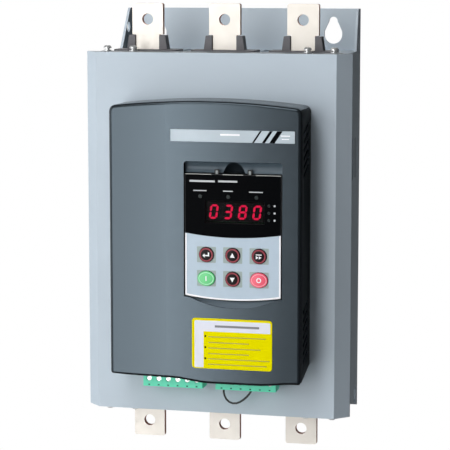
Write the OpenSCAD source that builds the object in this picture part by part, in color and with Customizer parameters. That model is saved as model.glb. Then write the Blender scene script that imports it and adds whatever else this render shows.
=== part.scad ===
// Three-phase soft starter: a folded sheet case for wall fixing, copper bars
// that leave it at both ends, and a moulded control housing on its front.
// The wall is the plane Y = 0, the front faces -Y and +Z points up.
// The origin is the centre of the wall plate's back face. Sizes in millimetres.

/* [Chassis] */
// Width of the chassis over its side walls
chassis_w = 192; // [190:1:200]
// Height of the wall plate
plate_h = 325; // [318:1:340]
// Sheet thickness of the chassis
sheet_t = 2; // [1.5:0.1:2.5]
// Outer radius of the chassis bends
bend_r = 3.5; // [3:0.1:5]
// Height of the ear above the case
top_ear_h = 32; // [31:1:36]
// Height of the ear below the case
bottom_ear_h = 11; // [10:0.5:14]
// Depth of the case, from the wall to the front of the cover
case_d = 105; // [102:1:115]
// Diameter of the wide part of a keyhole
keyhole_d = 14.6; // [13:0.1:16]
// Width of the narrow part of a keyhole and of the lower slots
wall_slot_w = 7; // [6.5:0.1:8]
// Distance from a side wall to the middle of its keyhole
keyhole_inset = 22.5; // [21:0.5:26]
// Diameter of the earth hole in the left ear
earth_hole_d = 8.5; // [6:0.1:9]
// Sheet thickness of the top and bottom panels
panel_t = 1.5; // [1:0.1:2]

/* [Cover] */
// How far the cover stands out past each side wall
cover_overhang = 9.5; // [8.5:0.5:12]
// Width of each bevel across the front and into the depth
bevel = 10.5; // [9:0.5:12]
// Sheet thickness of the cover
cover_t = 1.5; // [1:0.1:2]
// Depth of the flanges that lie on the top and bottom panels
lip_d = 22; // [20:1:24]
// Depth of the side flanges that hold the chassis walls
side_flange_d = 12; // [8:1:16]
// Head diameter of a cover screw
cover_screw_head_d = 6.2; // [5.5:0.1:8]
// Shank diameter of a cover screw
cover_screw_d = 3.5; // [3:0.1:4]

/* [Busbars] */
// Width of a bar where a lug is bolted on
bar_w = 25; // [24:0.5:28]
// Thickness of a bar
bar_t = 5; // [4:0.5:6]
// Width of a bar inside the case and in its bushing
neck_w = 19; // [18:0.5:20]
// Distance from a side wall to the middle of the outer bar
bar_inset = 33.5; // [32:0.5:35]
// Diameter of the lug holes
lug_hole_d = 9; // [8:0.1:10.5]
// Distance from the front of the cover back to the front of the bars
bar_setback = 33; // [32:0.5:36]
// How far the line bars rise above the case
line_reach = 37; // [35:0.5:42]
// How far the load bars drop below the case
load_reach = 29.5; // [28:0.5:34]

/* [Control housing] */
// Width of the control housing
housing_w = 151; // [148:1:156]
// How far the control housing stands out from the cover
housing_d = 36; // [34:1:40]
// Height of the housing's lower edge above the bottom of the case
housing_lift = 34; // [32:1:37]
// Wall thickness of the moulded housing
housing_wall = 2.5; // [2:0.1:3]
// Radius of the housing's upright corners seen from the front
housing_corner_r = 5; // [4:0.5:8]
// Radius of the housing's front edges
housing_edge_r = 2.5; // [1.5:0.1:3]
// Radius of the arched top
arch_r = 600; // [500:10:900]

/* [Keypad] */
// Width of the keypad
keypad_w = 75; // [74:0.5:77]
// Height of the keypad at its middle
keypad_h = 96.5; // [95:0.5:99]
// Depth of the keypad behind its front
keypad_d = 13; // [12:0.5:15]
// Distance of the keypad's middle from the middle of the housing
keypad_shift = 22.8; // [21:0.2:25]
// Diameter of a round key
key_d = 11.4; // [10:0.1:12]
// Distance between neighbouring keys in a row
key_pitch_x = 20.5; // [19.5:0.1:22]
// Distance between the two rows of keys
key_pitch_z = 18.2; // [17.5:0.1:20]
// Travel of a key
key_travel = 0.6; // [0.4:0.1:0.8]
// How far a resting key stands out of the panel
key_proud = 1.4; // [1.2:0.1:2]

/* [Control terminals] */
// Distance between neighbouring terminal positions
plug_pitch = 7.62; // [7.5:0.02:7.62]
// Positions in each terminal plug
plug_ways = 6; // [4:1:6]
// Height of a terminal plug
plug_h = 18; // [16:0.5:20]
// Thickness of a terminal plug from front to back
plug_d = 14; // [13:0.5:15]
// Distance from the middle of the housing to the middle of each plug
plug_shift = 29; // [28.5:0.5:32]

/* [Power stage] */
// Width of a thyristor module
module_w = 34; // [30:1:40]
// Length of a thyristor module
module_l = 94; // [90:1:98]
// Height of a thyristor module above the heatsink
module_h = 30; // [28:1:31]
// Length of the heatsink
sink_l = 190; // [180:1:200]
// Thickness of the heatsink's base
sink_base_t = 8; // [6:0.5:10]
// Number of cooling fins
fin_count = 22; // [16:1:26]
// Thickness of a cooling fin
fin_t = 1.8; // [1.5:0.1:2.2]
// Depth of a fan
fan_d = 25; // [20:1:28]
// Distance from the middle of the case to the middle of each fan
fan_shift = 45; // [42:0.5:48]
// Number of blades on a fan rotor
blade_count = 7; // [5:1:9]

/* [Hidden] */

// Facets of round parts, and of the children of a hull
round_fn = 48;
hull_fn = 28;
// Overrun of every cut, clearance of a loose fit, and clearance of a running shaft
cut = 1;
fit = 0.3;
shaft_fit = 0.03;
left = -1;
middle = 0;
right = 1;

// Case
case_h = plate_h - top_ear_h - bottom_ear_h;
case_z = bottom_ear_h - plate_h / 2;
case_top = case_z + case_h;
front_y = -case_d;
bevel_y = front_y + bevel;
wall_top = case_top - cover_t;
wall_bottom = case_z + cover_t;
wall_y = bevel_y + cover_t;
inner_w = chassis_w - 2 * sheet_t;
keyhole_pitch = chassis_w - 2 * keyhole_inset;
ear_tip_d = 14;
ear_chamfer = 2;
left_ear_foot_d = 37;
right_ear_foot_d = 22;
low_ear_tip_d = 4;
low_ear_foot_d = 58;
keyhole_drop = 21;
keyhole_reach = 14.4;
keyhole_step = 2.5;
wall_slot_lift = 7;
earth_hole_drop = 15.5;
earth_hole_inset = 17.5;
side_slot_w = 5;
side_slot_l = 34;
side_slot_pitch = 12;
side_slot_count = 5;
side_slot_lift = 196;
side_slot_inset = 22;
low_cut_w = 9;
low_cut_l = 15;
low_cut_inset = 15;

// Panels
panel_flange = 10;
panel_gap = 0.5;
vent_w = 5;
vent_l = 34;
vent_pitch = 9.4;
vent_margin = 8;
vent_setback = 22;
panel_w = inner_w;
vent_count = floor((panel_w - 2 * vent_margin) / vent_pitch);
panel_front_y = front_y + cover_t + panel_gap;
guard_rib_t = 2;
guard_pitch = 7.5;

// Cover
face_w = chassis_w + 2 * (cover_overhang - bevel);
cover_screw_setback = 16;
cover_screw_y = front_y + cover_screw_setback;
cover_screw_inset = 4.5;
cover_screw_pitch = 21;
cover_screw_x = [face_w / 2 - cover_screw_inset - cover_screw_pitch, face_w / 2 - cover_screw_inset];
cover_screw_head_h = 2.2;
cover_washer_t = 0.9;
cover_neck_h = 1.2;
cover_screw_l = 8;
cable_port_w = 96;
cable_port_h = 60;
cable_port_lift = 150;

// Busbars and bushings
bar_pitch = chassis_w / 2 - bar_inset;
bar_front_y = front_y + bar_setback;
bar_back_y = bar_front_y + bar_t;
bar_mid_y = (bar_front_y + bar_back_y) / 2;
bar_end = bar_w / 2;
bar_corner_r = 1.5;
terminal_hole_d = 6.4;
bushing_gap = 10.5;
bushing_w = bar_pitch - bushing_gap;
bushing_d = 22;
bushing_t = 2.5;
bushing_r = 3;
bushing_fit = 0.2;
collar_w = 33;
collar_taper = 1.6;
collar_d = 9;
line_collar_h = 11;
load_collar_h = 4;
spigot_wall = 2;
spigot_l = 5;
bar_gap = 0.5;

// Power stage
sink_gap = 6;
sink_w = inner_w - 2 * sink_gap;
sink_front_y = bar_back_y + module_h;
sink_back_y = -sheet_t;
sink_lift = 55;
sink_z = case_z + sink_lift;
module_z = sink_z + sink_l / 2;
module_base_t = 3;
module_step = 9;
module_hole_inset = 7;
module_post_w = 20;
module_post_l = 14;
module_post_pitch = 52;
module_neck_w = 26;
module_gate_w = 10;
module_gate_l = 14;
module_gate_h = 4;
bar_screw_head_d = 11;
bar_screw_head_h = 4;
bar_screw_d = 6;
bar_screw_l = 16;
mount_screw_head_d = 9;
mount_screw_head_h = 4;
mount_screw_d = 5;
ct_gap = 18.5;
ct_w = bar_pitch - ct_gap;
ct_h = 30;
ct_front = 14;
ct_back = 13;
ct_r = 6;
ct_lift = 63;
ct_z = case_z + ct_lift;
ct_back_y = bar_back_y + ct_back;
bracket_t = 1.5;
bracket_h = 24;
bracket_flange = 12;
trigger_w = sink_w;
trigger_h = 84;
trigger_t = 1.6;
trigger_rise = 13;
trigger_y = bar_front_y - trigger_rise;
pillar_d = 6;
pillar_x = bar_pitch / 2;
pillar_rise = 36;
chip_h = 4;

// Fans
fan_gap = 1;
fan_bar_gap = 4;
fan_w = -bar_back_y - sheet_t - fan_gap - fan_bar_gap;
fan_y = -sheet_t - fan_gap - fan_w / 2;
fan_z = wall_bottom + panel_t;
fan_corner_r = 4;
fan_rim = 1.5;
fan_bore_d = fan_w - 2 * fan_rim;
fan_hole_inset = 5;
fan_hole_pitch = fan_w - 2 * fan_hole_inset;
fan_hole_d = 4;
fan_strut_t = 3;
fan_hub_d = 27;
fan_base_t = 3;
stator_d = 18;
stator_h = 14;
shaft_d = 3;
rotor_cup_wall = 3;
rotor_gap = 0.6;
rotor_front_gap = 1.4;
rotor_tip_gap = 0.9;
blade_t = 1.4;
blade_twist = 38;
blade_h = 15;
rotor_z = fan_z + fan_base_t + rotor_gap;
rotor_h = fan_d - fan_base_t - rotor_gap - rotor_front_gap;

// Control housing
housing_y = front_y - housing_d;
housing_z = case_z + housing_lift;
label_w = 62.6;
label_h = 39;
label_lift = 9;
label_gap = 14;
keypad_drop = 55;
housing_h = keypad_drop + keypad_h + label_gap + label_h + label_lift;
housing_top = housing_z + housing_h;
facet_drop = 3.5;
facet_x = -29.5;
lip_rise = 9;
dip_share = [-0.18, 0.03, 0.29, 0.46];
dip_h = 3;
dip_return_share = 0.7;
outline_steps = 24;
facet_steps = 8;
pocket_gap = 0.7;
pocket_head = 9.5;
pocket_corner_r = 2.5;
pocket_floor_t = 2;
pocket_recess = 0.8;
scoop_w = 72;
scoop_h = 8.8;
scoop_d = 4;
scoop_edge_d = 0.8;
trough_r = 6.5;
trough_lift = 4;
trough_shift = 1;
notch_r = 9.3;
side_vent_count = 6;
side_vent_w = 3;
side_vent_l = 20;
side_vent_pitch = 6.4;
side_vent_lift = 195;
louvre_count = 7;
louvre_lift = 18;
louvre_tilt = 22;
badge_w = 96;
badge_h = 9.2;
badge_t = 0.8;
badge_shift = 22.6;
badge_drop = 26;
label_t = 0.3;
label_shift = 22.3;
label_r = 2.5;

// Keypad
keypad_x = keypad_shift;
keypad_front_y = housing_y + pocket_recess;
keypad_back_y = keypad_front_y + keypad_d;
keypad_top = housing_top - keypad_drop;
keypad_bottom = keypad_top - keypad_h;
keypad_wall = 1.8;
keypad_sag = 3;
clip_shift = 12.8;
clip_w = 3.6;
clip_d = 1.2;
clip_h = 3.6;
keypad_panel_t = 1.8;
overlay_t = 0.4;
overlay_h = 48.3;
overlay_top = keypad_bottom + overlay_h;
window_w = 46;
window_h = 17;
window_t = 1.2;
window_shift = 1.5;
window_drop = 28.7;
display_w = 44;
display_h = 14.5;
display_d = 6;
digit_w = 6.6;
digit_h = 11.2;
digit_pitch = 11.2;
digit_lean = 8;
readout = [0, 3, 8, 0];
digit_t = 0.25;
stroke_share = 0.15;
stroke_fill_share = 0.9;
keypad_board_t = 1.6;
display_gap = 0.4;
display_y = keypad_front_y + keypad_panel_t + display_gap;
keypad_board_y = display_y + display_d;
lamp_d = 2.6;
small_lamp_d = 1.8;
lamp_pitch = 21.8;
lamp_drop = 17;
small_lamp_pitch = 5.5;
small_lamp_shift = 27.8;
small_lamp_drop = 28.5;
lamp_shift = -3.6;
lamp_proud = 0.3;
key_row_lift = 35;
key_row_z = keypad_bottom + key_row_lift;
key_flange = 0.8;
key_flange_t = 0.8;
key_stem_d = 5;
oval_w = 13.6;
switch_w = 6;
switch_h = 3;

// Control board and terminals
board_gap = 3;
board_t = 1.6;
board_margin = 4;
board_w = housing_w - 2 * (housing_wall + board_margin);
board_h = 150;
board_lift = 42;
board_part_h = 9;
// Parts on the control board: place across, place up, width and height
board_part_shares = [
    [-0.33, 0.2, 0.13, 0.14], [-0.17, 0.2, 0.13, 0.14], [0, 0.2, 0.13, 0.14],
    [-0.25, 0.7, 0.25, 0.2], [0.3, 0.42, 0.2, 0.08]
];
capacitor_d = 9.6;
capacitor_shares = [[0.2, 0.75], [0.29, 0.75], [0.38, 0.75]];
board_y = front_y - board_gap;
board_z = case_z + board_lift;
spacer_d = 5;
spacer_inset = 6;
plug_end_t = 1;
plug_w = plug_ways * plug_pitch + 2 * plug_end_t;
plug_back_y = board_y - board_t - fit;
plug_front_y = plug_back_y - plug_d;
plug_lift = 23;
plug_z = case_z + plug_lift;
plug_wire_w = 4.2;
plug_wire_h = 3;
plug_screw_d = 4;
plug_screw_lift = 6.2;
plug_screw_sink = 0.8;
plug_screw_h = 4;
plug_step = 1.2;
header_h = 9;
header_top = plug_z + plug_h + header_h;
header_wall = 1.2;
jumper_d = 1.6;
jumper_y = (plug_front_y + plug_back_y) / 2;
jumper_sides = 8;
// The jumper's route, hand-chosen along the loop: place across, place up
jumper_route = [
    [10, -125.5], [10, -127.5], [10, -129.5], [10.1, -132], [10.8, -134.8], [12.2, -137.4],
    [14.4, -139.4], [17.2, -140.4], [20.2, -140.2], [23.2, -139], [26, -137], [28.6, -134.6],
    [30.8, -132], [32.2, -129.6], [32.8, -127.5], [32.8, -125.5]
];

// Colours
paint = [0.70, 0.76, 0.81];
zinc = [0.75, 0.76, 0.77];
tin = [0.90, 0.88, 0.84];
black_plastic = [0.10, 0.10, 0.11];
charcoal = [0.27, 0.29, 0.31];
aluminium = [0.78, 0.79, 0.80];
board_green = [0.10, 0.38, 0.22];
plug_green = [0.37, 0.86, 0.70];
yellow = [0.98, 0.93, 0.10];
silver = [0.80, 0.81, 0.82];
red = [0.95, 0.15, 0.25];
green = [0.45, 0.85, 0.50];
key_black = [0.12, 0.08, 0.09];
overlay_blue = [0.72, 0.78, 0.86];
window_red = [0.20, 0.02, 0.04];

// Places that several sub-parts share
function bar_x(side) = side * bar_pitch;
function fan_x(side) = side * fan_shift;
function plug_x(side) = side * plug_shift;
function plug_way_x(side, i) = plug_x(side) + (i - (plug_ways - 1) / 2) * plug_pitch;
function key_x(column) = keypad_x + column * key_pitch_x;
function smooth(t) = let (u = min(1, max(0, t))) u * u * (3 - 2 * u);
function arc(x, z, r, from, to, steps) =
    [for (i = [0:steps]) let (a = from + (to - from) * i / steps) [x + r * cos(a), z + r * sin(a)]];

// Extrudes an outline drawn in X and Z from the plane at y towards the front
module front_slab(y, depth) {
    translate([0, y, 0]) rotate([90, 0, 0]) linear_extrude(depth) children();
}

// Extrudes an outline drawn in Y and Z towards +X, centred on x
module side_slab(x, width) {
    translate([x - width / 2, 0, 0]) rotate([90, 0, 90]) linear_extrude(width) children();
}

// Extrudes an outline drawn in X and Y upwards from the height z
module level_slab(z, height) {
    translate([0, 0, z]) linear_extrude(height) children();
}

module rounded(w, h, r) {
    square([w - 2 * r, h], center = true);
    square([w, h - 2 * r], center = true);
    for (x = [-1, 1], y = [-1, 1])
        translate([x * (w / 2 - r), y * (h / 2 - r)]) circle(r, $fn = round_fn);
}

module rounded_top(w, h, r) {
    rounded(w, h, r);
    translate([-w / 2, -h / 2]) square([w, h / 2]);
}

module obround(w, l) {
    square([w, l - w], center = true);
    for (s = [-1, 1]) translate([0, s * (l - w) / 2]) circle(d = w, $fn = round_fn);
}

module box(x, y, z) {
    translate([x[0], y[0], z[0]]) cube([x[1] - x[0], y[1] - y[0], z[1] - z[0]]);
}

// Sheet-metal chassis with its two ears
module chassis_plan() {
    intersection() {
        difference() {
            translate([0, -case_d / 2]) rounded(chassis_w, case_d, bend_r);
            translate([0, -case_d / 2]) rounded(inner_w, case_d - 2 * sheet_t, bend_r - sheet_t);
        }
        translate([-chassis_w / 2, wall_y]) square([chassis_w, -wall_y]);
    }
}

module chassis_side(ear_foot_d) {
    polygon([
        [0, plate_h / 2],
        [ear_chamfer - ear_tip_d, plate_h / 2],
        [-ear_tip_d, plate_h / 2 - ear_chamfer],
        [-ear_foot_d, wall_top],
        [wall_y, wall_top],
        [wall_y, wall_bottom],
        [-low_ear_foot_d, wall_bottom],
        [-low_ear_tip_d, -plate_h / 2],
        [0, -plate_h / 2]
    ]);
}

module keyhole() {
    end = keyhole_reach - wall_slot_w / 2;
    circle(d = keyhole_d, $fn = round_fn);
    polygon([
        [-keyhole_d / 2, 0], [keyhole_d / 2, 0], [keyhole_d / 2, keyhole_step],
        [wall_slot_w / 2, end], [-wall_slot_w / 2, end], [-keyhole_d / 2, keyhole_step]
    ]);
    translate([0, end]) circle(d = wall_slot_w, $fn = round_fn);
}

module lower_slot() {
    translate([0, wall_slot_lift]) circle(d = wall_slot_w, $fn = round_fn);
    translate([-wall_slot_w / 2, -cut]) square([wall_slot_w, wall_slot_lift + cut]);
}

module chassis() {
    color(paint) difference() {
        intersection() {
            level_slab(-plate_h / 2, plate_h) chassis_plan();
            union() {
                side_slab(-chassis_w / 4, chassis_w / 2 + 2 * cut) chassis_side(left_ear_foot_d);
                side_slab(chassis_w / 4, chassis_w / 2 + 2 * cut) chassis_side(right_ear_foot_d);
            }
        }
        for (s = [left, right]) {
            front_slab(cut, sheet_t + 2 * cut)
                translate([s * keyhole_pitch / 2, plate_h / 2 - keyhole_drop]) keyhole();
            front_slab(cut, sheet_t + 2 * cut)
                translate([s * keyhole_pitch / 2, -plate_h / 2]) lower_slot();
            side_slab(s * (chassis_w - sheet_t) / 2, sheet_t + 2 * cut) {
                for (i = [0:side_slot_count - 1])
                    translate([wall_y + side_slot_inset + i * side_slot_pitch, case_z + side_slot_lift])
                        obround(side_slot_w, side_slot_l);
                translate([-low_cut_inset, case_z]) obround(low_cut_w, low_cut_l);
            }
        }
        translate([-chassis_w / 2 - cut, -earth_hole_inset, plate_h / 2 - earth_hole_drop])
            rotate([0, 90, 0]) cylinder(h = sheet_t + 2 * cut, d = earth_hole_d, $fn = round_fn);
    }
}

// Top and bottom panels, drawn for the top and mirrored for the bottom
module panel_blank() {
    difference() {
        box([-panel_w / 2, panel_w / 2], [panel_front_y, -sheet_t], [-panel_flange, 0]);
        for (s = [0, 1]) mirror([s, 0, 0])
            box([panel_w / 2 - bend_r + sheet_t, panel_w / 2 + cut], [-bend_r, cut],
                [-panel_flange - cut, cut]);
        box([panel_t - panel_w / 2, panel_w / 2 - panel_t], [panel_front_y + panel_t, cut],
            [-panel_flange - cut, -panel_t]);
    }
}

module panel_holes() {
    for (side = [left, middle, right])
        translate([bar_x(side), bar_mid_y])
            square([neck_w + 2 * (spigot_wall + fit), bar_t + 2 * (spigot_wall + fit)], center = true);
    for (s = [left, right], x = cover_screw_x)
        translate([s * x, cover_screw_y]) circle(d = cover_screw_d, $fn = round_fn);
}

module top_panel() {
    color(paint) translate([0, 0, wall_top]) difference() {
        panel_blank();
        level_slab(-panel_t - cut, panel_t + 2 * cut) {
            panel_holes();
            for (i = [0:vent_count - 1])
                translate([(i - (vent_count - 1) / 2) * vent_pitch, -vent_setback]) obround(vent_w, vent_l);
        }
        cover_screw_ways(-panel_flange - cut, panel_flange);
    }
}

module cover_screw_ways(z, height) {
    for (s = [left, right], x = cover_screw_x)
        translate([s * x, cover_screw_y, z]) cylinder(h = height, d = cover_screw_d, $fn = round_fn);
}

// A fan opening with the ribs of its guard left standing
module fan_opening() {
    difference() {
        circle(d = fan_bore_d, $fn = round_fn);
        for (r = [guard_pitch:guard_pitch:fan_bore_d / 2 - guard_rib_t]) difference() {
            circle(r, $fn = round_fn);
            circle(r - guard_rib_t, $fn = round_fn);
        }
        for (a = [45, 135]) rotate(a) square([fan_bore_d + 2 * cut, guard_rib_t], center = true);
    }
}

module bottom_panel() {
    color(paint) translate([0, 0, wall_bottom]) difference() {
        mirror([0, 0, 1]) panel_blank();
        level_slab(-cut, panel_t + 2 * cut) {
            panel_holes();
            for (side = [left, right]) translate([fan_x(side), fan_y]) fan_opening();
        }
        cover_screw_ways(cut, panel_flange);
        for (s = [left, right])
            box([(s * keyhole_pitch - keyhole_d) / 2, (s * keyhole_pitch + keyhole_d) / 2],
                [-keyhole_d / 2, 0], [-cut, panel_t + cut]);
    }
}

// Folded front cover with bevelled edges, and flanges that hold the chassis
module cover_outline() {
    polygon([
        [-face_w / 2 - bevel, wall_y], [-face_w / 2 - bevel, bevel_y],
        [-face_w / 2, front_y], [face_w / 2, front_y],
        [face_w / 2 + bevel, bevel_y], [face_w / 2 + bevel, wall_y]
    ]);
}

module cover_plan() {
    face = face_w / 2 - cover_t * tan(45 / 2);
    side = face_w / 2 + bevel - cover_t * sqrt(2);
    difference() {
        cover_outline();
        polygon([
            [-chassis_w / 2, wall_y + cut], [-chassis_w / 2, bevel_y], [-side, bevel_y],
            [-face, front_y + cover_t], [face, front_y + cover_t],
            [side, bevel_y], [chassis_w / 2, bevel_y], [chassis_w / 2, wall_y + cut]
        ]);
    }
}

module cover_lip(z) {
    difference() {
        level_slab(z, cover_t) {
            cover_outline();
            translate([-chassis_w / 2, front_y + cover_t]) square([chassis_w, lip_d - cover_t]);
        }
        cover_screw_ways(z - cut, cover_t + 2 * cut);
    }
}

module front_cover() {
    color(paint) {
        difference() {
            level_slab(case_z + cover_t, case_h - 2 * cover_t) cover_plan();
            box([-cable_port_w / 2, cable_port_w / 2], [front_y - cut, front_y + cover_t + cut],
                [case_z + cable_port_lift, case_z + cable_port_lift + cable_port_h]);
        }
        cover_lip(case_z);
        cover_lip(wall_top);
        for (s = [0, 1]) mirror([s, 0, 0])
            box([chassis_w / 2, chassis_w / 2 + cover_t], [bevel_y, wall_y + side_flange_d],
                [case_z + lip_d, case_top - lip_d]);
    }
}

module cover_screws() {
    color(zinc) for (m = [0, 1], s = [left, right], x = cover_screw_x)
        translate([0, 0, m * (case_z + case_top)]) mirror([0, 0, m])
            translate([s * x, cover_screw_y, case_top]) cover_screw();
}

// A pan-head screw with its washer on the cover and its head a little above it
module cover_screw() {
    head_z = cover_washer_t + cover_neck_h;
    cylinder(h = cover_washer_t, d = cover_screw_head_d, $fn = round_fn);
    difference() {
        translate([0, 0, head_z]) {
            cylinder(h = cover_screw_head_h / 2, d = cover_screw_head_d, $fn = round_fn);
            translate([0, 0, cover_screw_head_h / 2])
                cylinder(h = cover_screw_head_h / 2, d1 = cover_screw_head_d,
                    d2 = cover_screw_head_d - cover_screw_head_h, $fn = round_fn);
        }
        for (a = [0, 90]) rotate(a) translate([0, 0, head_z + cover_screw_head_h])
            cube([cover_screw_head_d * 2 / 3, cover_screw_head_h / 3, cover_screw_head_h], center = true);
    }
    translate([0, 0, -cover_screw_l])
        cylinder(h = cover_screw_l + head_z + cover_screw_head_h / 4,
            d = cover_screw_d - fit, $fn = round_fn);
}

// Insulating bushing round a bar, drawn for the top and mirrored for the bottom
module bushing(side, collar_h) {
    slot_w = neck_w + 2 * bushing_fit;
    slot_d = bar_t + 2 * bushing_fit;
    color(black_plastic) difference() {
        union() {
            translate([bar_x(side), bar_mid_y]) level_slab(0, bushing_t)
                rounded(bushing_w, bushing_d, bushing_r);
            front_slab(bar_mid_y + collar_d / 2, collar_d) polygon([
                [bar_x(side) - collar_w / 2, bushing_t], [bar_x(side) + collar_w / 2, bushing_t],
                [bar_x(side) + collar_w / 2 - collar_taper, bushing_t + collar_h],
                [bar_x(side) - collar_w / 2 + collar_taper, bushing_t + collar_h]
            ]);
            translate([bar_x(side), bar_mid_y]) level_slab(-spigot_l, spigot_l)
                square([neck_w + 2 * spigot_wall, bar_t + 2 * spigot_wall], center = true);
        }
        translate([bar_x(side), bar_mid_y])
            level_slab(-spigot_l - cut, spigot_l + bushing_t + collar_h + 2 * cut)
                square([slot_w, slot_d], center = true);
        box([bar_x(side) - slot_w / 2, bar_x(side) + slot_w / 2],
            [bar_mid_y - collar_d / 2 - cut, bar_mid_y], [bushing_t, bushing_t + collar_h + cut]);
    }
}

module line_bushing(side) {
    translate([0, 0, wall_top]) bushing(side, line_collar_h);
}

module load_bushing(side) {
    translate([0, 0, wall_bottom]) mirror([0, 0, 1]) bushing(side, load_collar_h);
}

// Copper bars: a wide lug end outside and a narrow neck down to the module
module bar(side, lug_z, neck_z, terminal_z) {
    up = sign(lug_z - terminal_z);
    head_z = lug_z + up * bar_end;
    foot_z = terminal_z - up * neck_w / 2;
    color(tin) front_slab(bar_back_y, bar_t) translate([bar_x(side), 0]) difference() {
        union() {
            translate([0, (head_z + neck_z) / 2]) rounded(bar_w, abs(head_z - neck_z), bar_corner_r);
            translate([-bar_w / 2, min(lug_z, neck_z)]) square([bar_w, abs(lug_z - neck_z)]);
            translate([-neck_w / 2, min(foot_z, lug_z)]) square([neck_w, abs(lug_z - foot_z)]);
        }
        translate([0, lug_z]) circle(d = lug_hole_d, $fn = round_fn);
        translate([0, terminal_z]) circle(d = terminal_hole_d, $fn = round_fn);
    }
}

module line_bar(side) {
    bar(side, case_top + line_reach - bar_end, wall_top + bushing_t + line_collar_h + bar_gap,
        module_z + module_post_pitch / 2);
}

module load_bar(side) {
    bar(side, case_z - load_reach + bar_end, wall_bottom - bushing_t - load_collar_h - bar_gap,
        module_z - module_post_pitch / 2);
}

// Extruded heatsink, its fins standing on the wall plate
module heatsink() {
    pitch = (sink_w - fin_t) / (fin_count - 1);
    color(aluminium) level_slab(sink_z, sink_l) {
        translate([-sink_w / 2, sink_front_y]) square([sink_w, sink_base_t]);
        for (i = [0:fin_count - 1])
            translate([i * pitch - sink_w / 2, sink_front_y]) square([fin_t, sink_back_y - sink_front_y]);
    }
}

// Thyristor module with a metal base, a moulded body and two terminal posts
module thyristor(side) {
    color(black_plastic) translate([bar_x(side), sink_front_y, module_z]) difference() {
        union() {
            front_slab(0, module_base_t) rounded(module_w, module_l, bar_corner_r);
            front_slab(0, module_step) square([module_w, module_l - 4 * module_hole_inset], center = true);
            front_slab(0, module_h - module_gate_h)
                square([module_neck_w, module_post_pitch + module_post_l - module_gate_h], center = true);
            for (s = [-1, 1]) front_slab(0, module_h) translate([0, s * module_post_pitch / 2])
                square([module_post_w, module_post_l], center = true);
            front_slab(0, module_h) square([module_gate_w, module_gate_l], center = true);
        }
        for (s = [-1, 1]) {
            front_slab(cut, module_step + 2 * cut) translate([0, s * (module_l / 2 - module_hole_inset)])
                circle(d = mount_screw_d + fit, $fn = round_fn);
            front_slab(cut - module_h + bar_screw_l, bar_screw_l + cut)
                translate([0, s * module_post_pitch / 2]) circle(d = bar_screw_d, $fn = round_fn);
        }
    }
}

module hex_screw(head_d, head_h, shank_d, shank_l) {
    front_slab(0, head_h) circle(d = head_d, $fn = 6);
    front_slab(shank_l, shank_l) circle(d = shank_d - fit, $fn = round_fn);
}

module bar_screws() {
    mount_z = module_l / 2 - module_hole_inset;
    color(zinc) for (side = [left, middle, right], s = [-1, 1]) {
        translate([bar_x(side), bar_front_y, module_z + s * module_post_pitch / 2])
            hex_screw(bar_screw_head_d, bar_screw_head_h, bar_screw_d, bar_screw_l - bar_t);
        translate([bar_x(side), sink_front_y - module_base_t, module_z + s * mount_z])
            hex_screw(mount_screw_head_d, mount_screw_head_h, mount_screw_d, module_base_t);
    }
}

// Current transformer round a load bar, on a bracket across the case
module current_transformer(side) {
    color(black_plastic) translate([bar_x(side), 0]) level_slab(ct_z, ct_h) difference() {
        translate([0, (ct_back_y + bar_front_y - ct_front) / 2])
            rounded(ct_w, ct_back_y - bar_front_y + ct_front, ct_r);
        translate([0, bar_mid_y]) square([neck_w + 2 * fit, bar_t + 2 * fit], center = true);
    }
}

module transformer_bracket() {
    color(zinc) translate([0, 0, ct_z + (ct_h - bracket_h) / 2]) {
        box([-inner_w / 2, inner_w / 2], [ct_back_y, ct_back_y + bracket_t], [0, bracket_h]);
        for (s = [0, 1]) mirror([s, 0, 0])
            box([inner_w / 2 - bracket_t, inner_w / 2], [ct_back_y, ct_back_y + bracket_flange],
                [0, bracket_h]);
    }
}

// Trigger board on pillars that stand on the heatsink
module trigger_board() {
    color(board_green) {
        front_slab(trigger_y + trigger_t, trigger_t) translate([0, module_z]) difference() {
            square([trigger_w, trigger_h], center = true);
            for (x = [-1, 1], z = [-1, 1])
                translate([x * pillar_x, z * pillar_rise]) circle(d = pillar_d / 2, $fn = round_fn);
        }
        for (side = [left, middle, right], s = [-1, 1])
            front_slab(trigger_y, chip_h) translate([bar_x(side), module_z + s * trigger_h / 4])
                square([module_neck_w, module_post_l], center = true);
    }
}

module board_pillars() {
    color(zinc) for (x = [-1, 1], z = [-1, 1]) translate([x * pillar_x, 0, module_z + z * pillar_rise]) {
        front_slab(sink_front_y, sink_front_y - trigger_y - trigger_t) circle(d = pillar_d, $fn = 6);
        front_slab(trigger_y + trigger_t, trigger_t + chip_h / 2)
            circle(d = pillar_d / 2 - fit, $fn = round_fn);
    }
}

// Axial fans that stand on the bottom panel
module fan_frame(side) {
    color(black_plastic) translate([fan_x(side), fan_y, fan_z]) {
        difference() {
            linear_extrude(fan_d) rounded(fan_w, fan_w, fan_corner_r);
            translate([0, 0, -cut]) cylinder(h = fan_d + 2 * cut, d = fan_bore_d, $fn = round_fn);
            for (x = [-1, 1], y = [-1, 1])
                translate([x * fan_hole_pitch / 2, y * fan_hole_pitch / 2, -cut])
                    cylinder(h = fan_d + 2 * cut, d = fan_hole_d, $fn = round_fn);
        }
        difference() {
            union() {
                for (a = [45:90:315]) rotate(a) translate([0, -fan_strut_t / 2, 0])
                    cube([fan_bore_d / 2 + cut / 2, fan_strut_t, fan_base_t]);
                cylinder(h = fan_base_t, d = fan_hub_d, $fn = round_fn);
                cylinder(h = fan_base_t + stator_h, d = stator_d, $fn = round_fn);
            }
            translate([0, 0, fan_base_t / 2])
                cylinder(h = stator_h + fan_base_t, d = shaft_d + 2 * shaft_fit, $fn = round_fn);
        }
    }
}

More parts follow.
